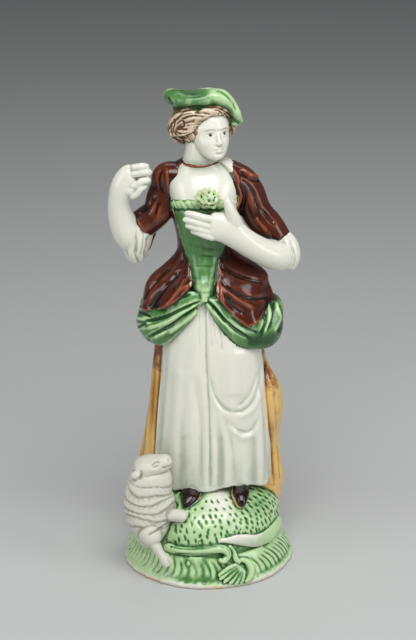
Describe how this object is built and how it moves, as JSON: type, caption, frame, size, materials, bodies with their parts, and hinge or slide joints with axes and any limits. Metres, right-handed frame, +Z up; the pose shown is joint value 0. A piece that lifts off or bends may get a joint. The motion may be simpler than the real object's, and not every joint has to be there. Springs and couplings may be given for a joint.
{
  "type": "staffordshire figure",
  "caption": "Lead-glazed earthenware figure of a shepherdess in hat, jacket and looped-up gown, holding flowers, with a lamb at her feet, on a round fluted base.",
  "frame": {"origin": "centre of the flat underside of the round base, on the surface it stands on", "axes": "+Z up, -Y the front that she and the lamb face, +X the viewer's right seen from the front"},
  "size_m": [0.0955, 0.0892, 0.2518],
  "materials": {
    "glazed_earthenware": "creamy white earthenware under green, brown and ochre lead glazes, glossy"
  },
  "bodies": {
    "root": {"shepherdess_figure": "glazed_earthenware"}
  },
  "joints": []
}
